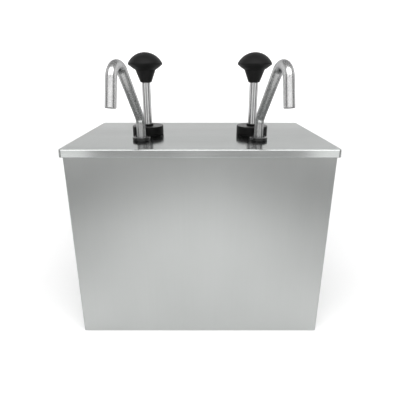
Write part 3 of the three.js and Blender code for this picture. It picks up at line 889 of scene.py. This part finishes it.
lid_piece()
housing_wrap_piece()
housing_back_piece()
base_piece()
for hand in SIDES:
    container_piece(hand)
    knob_piece(hand)
    rod_piece(hand)
    collar_piece(hand)
    guide_bush_piece(hand)
    cylinder_piece(hand)
    valve_piece(hand)
    piston_piece(hand)
    piston_nut_piece(hand)
    spring_piece(hand)
    ball_piece(hand, "inlet_ball")
    ball_piece(hand, "discharge_ball")
    spout_piece(hand)
    spout_bush_piece(hand)
    ring_piece(hand, "knob_insert", STUD_HOLE, 0.3, f"plunger_{hand}", "brass", BRASS)
    ring_piece(hand, "piston_seal", 10.5, 1.0, f"plunger_{hand}", "seal", RUBBER)
    ring_piece(hand, "neck_gasket", NECK_HOLE, 0.3, "lid", "seal", RUBBER)
    ring_piece(hand, "inlet_seat", 3.0, 0.4, "lid", "valve_steel", VALVE_STEEL)
    ring_piece(hand, "tube_o_ring", 6.8, 0.6, "lid", "seal", RUBBER)
    ring_piece(hand, "spout_gasket", SPOUT_HOLE, 0.3, "lid", "seal", RUBBER)
    ring_piece(hand, "spout_nut", SPOUT_HOLE, 0.7, "lid", "collar", NUT_BLACK)


# ---- studio ----

# A round floor curves up into a round wall. The reflector stands just inside it, in front of the
# dispenser, where only the steel shows it, and paints shade and highlights into its reflections.
FLOOR_RADIUS, COVE, WALL_TOP = 1500.0, 700.0, 2400.0
FLOOR_LEVEL, REFLECTOR_LIFT, REFLECTOR_SCALE = -0.5, 1.0, 0.99
REFLECTOR_EDGE = -0.15          # metres; the reflector ends before this y
FLOOR_GLOW, WALL_GLOW = 0.15, 0.40
# The glows of the front wall and the screens paint highlights into the steel, and the second grey
# paints shade there.
PAINTED_WALL_GLOW, PAINTED_HIGHLIGHT_GLOW = 0.45, 0.84
WHITE, PAINTED_SHADE_GREY = 0.84, 0.25


def backdrop(name, material, scale=1.0, lift=0.0, back_edge=math.inf):
    """A floor and wall as far back as back_edge in metres."""
    floor_rings, cove_steps = 6, 12
    outline = [(FLOOR_RADIUS * k / floor_rings, FLOOR_LEVEL) for k in range(floor_rings + 1)]
    for k in range(1, cove_steps + 1):
        a = math.pi / 2 * k / cove_steps
        outline.append((FLOOR_RADIUS + COVE * math.sin(a),
                        COVE * (1 - math.cos(a)) + FLOOR_LEVEL))
    outline.append((FLOOR_RADIUS + COVE, WALL_TOP))
    bm = bmesh.new()
    rings = [ring(bm, radius, height, (0, 0), FACETS) for radius, height in outline]
    for first, second in zip(rings, rings[1:]):
        skin(bm, first, second)
    bmesh.ops.scale(bm, vec=Vector((MM, MM, MM)) * scale, verts=bm.verts)
    bmesh.ops.translate(bm, vec=Vector((0, 0, lift * MM)), verts=bm.verts)
    behind = [face for face in bm.faces if face.calc_center_median().y > back_edge]
    bmesh.ops.delete(bm, geom=behind, context="FACES")
    for face in bm.faces:
        face.smooth = True
    sheet = add_object(name, bm)
    sheet.data.materials.append(material)
    return sheet


def studio_material(name):
    """A matt white that may glow, with its place in metres as separate outputs."""
    g = Graph(name)
    g.set(roughness=0.9, emission_color=(1, 1, 1, 1), base_color=(*grey(WHITE), 1))
    parts = g.node("ShaderNodeSeparateXYZ")
    g.link(g.place, parts.inputs["Vector"])
    return g, parts.outputs


def studio_white():
    """Plain white, with a floor and a wall that glow softly away from the dispenser."""
    g, place = studio_material("studio_white")
    distance = g.node("ShaderNodeVectorMath", operation="LENGTH")
    g.link(g.place, distance.inputs[0])
    away = g.span(distance.outputs["Value"], 0.3, 0.8, 0.0, 1.0)
    glow = g.span(place["Z"], 0.0, 0.08, FLOOR_GLOW, WALL_GLOW)
    g.feed(g.maths("MULTIPLY", glow, away), "Emission Strength")
    return g.material


def painted_reflections():
    """Painted reflections for the steel in front of the dispenser: painted shade on a floor that
    darkens ahead of it and to its sides, and painted light from a dim wall that glows and a pale
    glowing screen on each side. Ranges are in metres, and y falls towards the camera."""
    g, place = studio_material("painted_reflections")
    x, y = g.maths("ABSOLUTE", place["X"], 0), place["Y"]
    # Painted shade: the floor darkens ahead of the dispenser and to its sides, for the steel to
    # mirror.
    ahead = g.span(y, -0.4, -1.0, 0.0, 0.85)
    painted_side_shade = g.maths("MULTIPLY", g.span(x, 0.06, 0.4, 0.0, 0.6), g.span(y, -0.15, -0.3, 0.0, 1.0))
    g.feed(g.mix(g.maths("ADD", ahead, painted_side_shade), grey(WHITE), grey(PAINTED_SHADE_GREY)), "Base Color")
    # Painted light: the far front wall and a screen on each side glow, though no lamp is there, to
    # put highlights in the steel.
    front = g.span(y, -1.2, -1.8, 0.0, PAINTED_WALL_GLOW)
    wall = g.maths("MULTIPLY", front, g.span(place["Z"], 0.0, 0.03, 0.0, 1.0))
    beside = g.maths("ADD", x, g.maths("MULTIPLY", y, 0.35))
    painted_highlight_screens = g.maths("MULTIPLY", g.span(beside, 0.09, 0.14, 0.0, PAINTED_HIGHLIGHT_GLOW),
                      g.span(y, -1.3, -1.4, 0.0, 1.0))
    g.feed(g.maths("ADD", wall, painted_highlight_screens), "Emission Strength")
    return g.material


def studio():
    backdrop("cyclorama", studio_white())
    reflector = backdrop("reflector", painted_reflections(), REFLECTOR_SCALE, REFLECTOR_LIFT,
                         REFLECTOR_EDGE)
    reflector.visible_camera = False
    reflector.visible_diffuse = False
    reflector.visible_shadow = False


def area_light(name, place, target, size, power):
    """A soft light at place, aimed at target. Its size is in metres and its power in watts."""
    data = bpy.data.lights.new(name, "AREA")
    data.shape = "RECTANGLE"
    data.size, data.size_y = size
    data.energy = power
    lamp = bpy.data.objects.new(name, data)
    bpy.context.scene.collection.objects.link(lamp)
    lamp.location = place
    aim = Vector(target) - Vector(place)
    lamp.rotation_euler = aim.to_track_quat("-Z", "Y").to_euler()


def lights():
    """Two large soft lights, and an even light from all round."""
    world = bpy.data.worlds.new("studio_light")
    bpy.context.scene.world = world
    world.use_nodes = True
    background = world.node_tree.nodes["Background"]
    background.inputs["Color"].default_value = (1, 1, 1, 1)
    background.inputs["Strength"].default_value = 0.5
    area_light("overhead", (0, -0.65, 1.3), (0, -0.3, 0.0), (1.7, 0.7), 13.0)
    area_light("key", (0, -2.0, 1.05), (0, 0, 0.35), (1.8, 0.7), 5.0)


def camera():
    ahead_of_lid, above_lid, pitch = 405.5, 102.9, 17.15
    data = bpy.data.cameras.new("camera")
    data.sensor_width = 36.0
    data.lens = 28.8
    data.shift_y = -0.0851
    data.clip_start = 0.01
    eye = bpy.data.objects.new("camera", data)
    bpy.context.scene.collection.objects.link(eye)
    eye.location = Vector((0, LID_LOW.y - ahead_of_lid, LID_TOP + above_lid)) * MM
    eye.rotation_euler = (math.radians(90 - pitch), 0, 0)
    bpy.context.scene.camera = eye


studio()
lights()
camera()
bpy.context.scene.view_settings.view_transform = "Standard"
